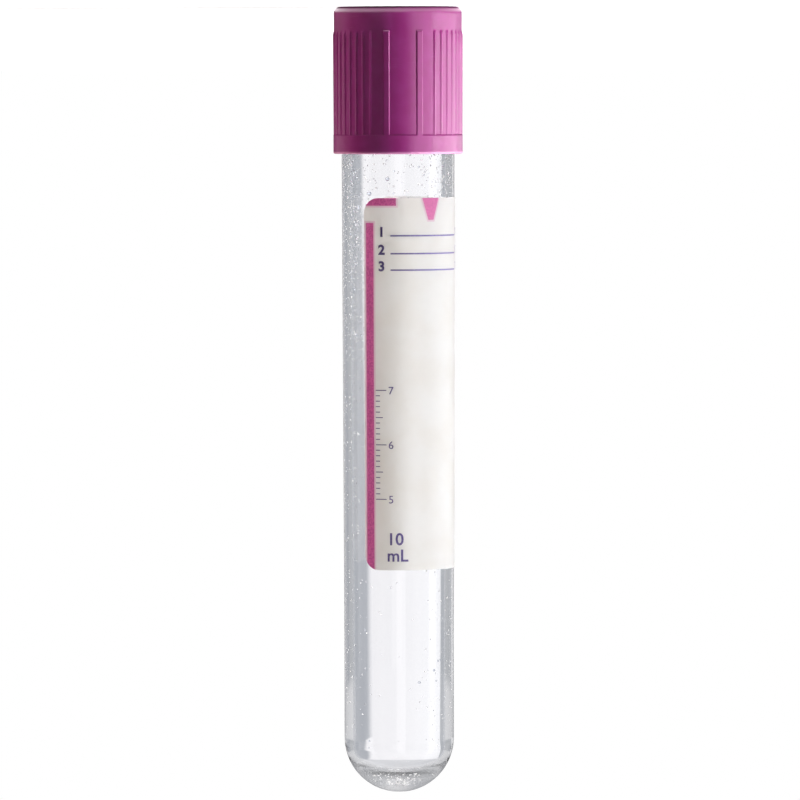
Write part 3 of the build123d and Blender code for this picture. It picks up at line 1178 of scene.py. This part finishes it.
def makeLabelPrint(plan):
    pieces = []
    addRows(pieces, plan)
    addScale(pieces, plan)
    for line, bottom in plan["capacity"]:
        addText(pieces, line, plan["capacityStart"], bottom, plan["capacityHeight"], plan, plan["semiBold"])
    deselectAll()
    for piece in pieces:
        piece.select_set(True)
    bpy.context.view_layer.objects.active = pieces[0]
    bpy.ops.object.join()
    art = bpy.context.active_object
    art.name = art.data.name = "label_print"
    cutIntoColumns(art, plan["width"], plan["columnWidth"])
    applyModifier(art, "SOLIDIFY", thickness=plan["thickness"], offset=1.0)
    editMode(art)
    bpy.ops.transform.translate(value=(0, 0, labelPlan["thickness"] + plan["lift"]))
    bpy.ops.object.mode_set(mode="OBJECT")
    wrapOnWall(art, labelPlan)
    return art


def makeInk(plan):
    material, tree = newMaterial("printInk")
    worn = ramp(tree, noise(tree, inMillimetres(tree), plan["speckleScale"]), *plan["wornRange"])
    showSurface(tree, addSurface(tree, {
        "Base Color": mixColour(tree, worn, plan["ink"], plan["inkWorn"]),
        "Roughness": calc(tree, "MULTIPLY_ADD", worn, plan["wornRoughness"], plan["roughness"]),
    }))
    return material


labelPrint = makeLabelPrint(printPlan)
finishMesh(labelPrint, printPlan["smoothAngle"])
finishWith(labelPrint, makeInk(printPlan), "tube_body")
print("print made")


# The dried additive: drops and a finer mist on the bore.
dropPlan = {
    "seed": 16,
    "drops": 250,
    "mist": 2700,
    "gap": 0.004 * mm,
    "mistSunk": 0.02 * mm,            # the fine specks have dried onto the wall
    "lowest": 6.6 * mm,               # from the closed end
    "highest": 91.0 * mm,
    "dropSize": 0.17,                 # middle foot radius, in millimetres
    "dropSpread": 0.30,
    "dropLimits": (0.10, 0.32),
    "mistLimits": (0.06, 0.15),
    "dropSparse": 0.04,               # how dense they are near the closed end, as a share of near the mouth
    "mistSparse": 0.10,
    "mouthPower": 3,
    "frontSparse": 0.10,              # and at the front and back of the bore, as a share of its sides
    "sidePower": 6,
    "dropCut": 0.50,                  # a drop is a sphere of radius 1 cut off at this height
    "mistCut": 0.88,
    "dropSides": (12, 16),            # segments and rings of the whole sphere
    "mistSides": (6, 24),
    "broad": (0.85, 1.2),             # how a drop is drawn out along the wall and flattened
    "flat": (0.8, 1.0),
    "smoothAngle": 50,
    "bottomSpecks": 95,
    "bottomReach": (1.8, 4.4),        # millimetres from the axis
    "bottomSweep": 34.0,
    # larger drops at places of their own: turn, distance from the closed end, foot radius in millimetres
    "largeDrops": ((-37, 7.4, 0.16), (-38, 6.5, 0.12), (24, 15.5, 0.2), (-12, 84.6, 0.28)),
    "dropClear": 1.0,
    "mistClear": 0.5,
    "deepColour": (0.90, 0.93, 1.0, 1),
    "lightColour": (0.95, 0.97, 1.0, 1),
    "refraction": 1.46,
    "crustSize": 0.1,
    "mottleSize": 0.8,
    "crustRoughness": 0.06,
}


def makeDropShape(segments, rings, cut):
    deselectAll()
    bpy.ops.mesh.primitive_uv_sphere_add(segments=segments, ring_count=rings, radius=1)
    drop = bpy.context.active_object
    editMode(drop)
    bpy.ops.mesh.bisect(plane_co=(0, 0, cut), plane_no=(0, 0, 1), clear_inner=True, use_fill=True)
    bpy.ops.mesh.select_all(action="SELECT")
    foot = math.sqrt(1 - cut ** 2)
    bpy.ops.transform.translate(value=(0, 0, -cut))
    bpy.ops.transform.resize(value=(1 / foot, 1 / foot, 1 / foot), center_override=(0, 0, 0))
    bpy.ops.mesh.normals_make_consistent(inside=False)
    bpy.ops.object.mode_set(mode="OBJECT")
    corners = np.array([vertex.co for vertex in drop.data.vertices])
    faces = [list(face.vertices) for face in drop.data.polygons]
    bpy.data.objects.remove(drop)
    return corners, faces


def dropPlace(turn, distance, foot, gap):
    # centre of a foot on the wall, and the direction its dome points to
    reach = math.sqrt(boreRadius(distance) ** 2 - foot ** 2) - gap
    return around(turn, reach, fromEnd(distance)), around(turn, -1.0)


def bottomPlace(turn, aside, foot, gap):
    dishCentre = fromEnd(boreCorner(tubePlan)[2])
    floor = tubePlan["boreFloorRadius"]
    reach = math.sqrt(floor ** 2 - foot ** 2) - gap
    lean = math.asin(aside / floor)
    outward = around(turn, math.sin(lean), math.cos(lean))
    return outward * reach + Vector((0, 0, dishCentre)), -outward


def spreadDrops(name, shape, places, plan, chance):
    corners, faces = shape
    allCorners, allFaces = [], []
    for centre, inward, foot in places:
        rotation = inward.to_track_quat("Z", "Y").to_matrix()
        spin = Matrix.Rotation(chance.uniform(0, 2 * math.pi), 3, "Z")
        sizes = (foot, foot * chance.uniform(*plan["broad"]), foot * chance.uniform(*plan["flat"]))
        placed = np.array(rotation @ spin @ Matrix.Diagonal(sizes))
        start = len(allCorners) * len(corners)
        allCorners.append(corners @ placed.T + np.array(centre))
        allFaces += [[start + number for number in face] for face in faces]
    mesh = bpy.data.meshes.new(name)
    mesh.from_pydata(np.concatenate(allCorners).tolist(), [], allFaces)
    obj = bpy.data.objects.new(name, mesh)
    bpy.context.scene.collection.objects.link(obj)
    return obj


def scatter(count, footSize, sparse, gap, plan, chance):
    places = []
    front, lowest, highest = plan["frontSparse"], plan["lowest"], plan["highest"]
    while len(places) < count:
        turn, distance = chance.uniform(-180, 180), chance.uniform(lowest, highest)
        towardsMouth = ((distance - lowest) / (highest - lowest)) ** plan["mouthPower"]
        sideways = math.sin(math.radians(turn)) ** plan["sidePower"]
        foot = footSize()
        if chance.random() < (front + (1 - front) * sideways) * (sparse + (1 - sparse) * towardsMouth):
            places.append((*dropPlace(turn, distance, foot, gap), foot))
    return places


def makeAdditive(plan):
    chance = random.Random(plan["seed"])
    low, high = plan["dropLimits"]

    def dropFoot():
        size = chance.lognormvariate(math.log(plan["dropSize"]), plan["dropSpread"])
        return min(max(size, low), high) * mm

    def mistFoot():
        return chance.uniform(*plan["mistLimits"]) * mm

    drops = scatter(plan["drops"], dropFoot, plan["dropSparse"], plan["gap"], plan, chance)
    for turn, distance, foot in plan["largeDrops"]:
        drops.append((*dropPlace(turn, distance * mm, foot * mm, plan["gap"]), foot * mm))
    dropShape = makeDropShape(*plan["dropSides"], plan["dropCut"])
    beads = spreadDrops("additive_drops", dropShape, drops, plan, chance)
    mist = scatter(plan["mist"], mistFoot, plan["mistSparse"], -plan["mistSunk"], plan, chance)
    for number in range(plan["bottomSpecks"]):
        foot = mistFoot()
        aside = chance.uniform(*plan["bottomReach"]) * mm
        turn = chance.gauss(0.0, plan["bottomSweep"])
        mist.append((*bottomPlace(turn, aside, foot, -plan["mistSunk"]), foot))
    mistShape = makeDropShape(*plan["mistSides"], plan["mistCut"])
    return beads, spreadDrops("additive_mist", mistShape, mist, plan, chance)


def makeAdditiveMaterial(name, clear, plan):
    material, tree = newMaterial(name)
    crust = useGrain(tree, inMillimetres(tree), plan["crustSize"], plan["mottleSize"])
    showSurface(tree, addSurface(tree, {
        "Base Color": mixColour(tree, crust["Mottle"], plan["deepColour"], plan["lightColour"]),
        "Roughness": calc(tree, "MULTIPLY", crust["Height"], plan["crustRoughness"]),
        "IOR": plan["refraction"],
        "Transmission Weight": clear,
    }))
    return material


beads, haze = makeAdditive(dropPlan)
for piece, clear in ((beads, dropPlan["dropClear"]), (haze, dropPlan["mistClear"])):
    finishMesh(piece, dropPlan["smoothAngle"])
    finishWith(piece, makeAdditiveMaterial(piece.name, clear, dropPlan), "tube_body")
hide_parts("additive_droplets")
print("additive made")
